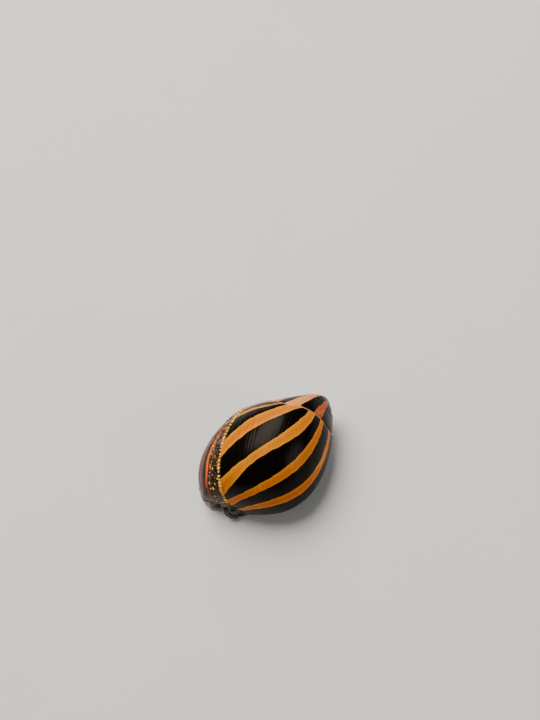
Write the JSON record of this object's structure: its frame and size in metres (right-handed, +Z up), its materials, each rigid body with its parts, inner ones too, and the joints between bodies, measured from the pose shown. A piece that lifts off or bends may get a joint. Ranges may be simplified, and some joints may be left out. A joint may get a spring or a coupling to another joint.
{
  "type": "nerite snail",
  "caption": "Striped freshwater nerite snail at rest on its foot, with a domed glossy shell, a beaded growth ridge and its head under the lip.",
  "frame": {"origin": "on the floor under the middle of the snail's bounding box", "axes": "+Z up, the head looks along -Y, the spire points back along +Y and a little to the animal's right, which is -X"},
  "size_m": [0.0178, 0.0252, 0.0141],
  "materials": {
    "shell_striped": "glossy, black and golden yellow stripes",
    "shell_spire": "glossy, red-orange with black rays",
    "shell_ridge": "glossy beads, dark brown and golden",
    "shell_lip": "glossy, dark brown with orange bands",
    "flesh": "moist, mottled grey-brown",
    "dark_flesh": "moist, near black",
    "mantle": "moist, dark with a pale edge",
    "operculum": "satin horn",
    "eye": "wet gloss black"
  },
  "bodies": {
    "root": {"shell_spire": "shell_spire", "shell_body_whorl": "shell_striped", "shell_growth_ridge": "shell_ridge", "shell_lip": "shell_lip", "foot": "flesh", "head": "flesh", "mantle_edge": "mantle", "tentacle_left_base": "dark_flesh", "tentacle_left_tip": "dark_flesh", "tentacle_right_base": "dark_flesh", "tentacle_right_tip": "dark_flesh", "eyestalk_left": "dark_flesh", "eyestalk_right": "dark_flesh", "eye_left": "eye", "eye_right": "eye", "operculum": "operculum"}
  },
  "joints": []
}
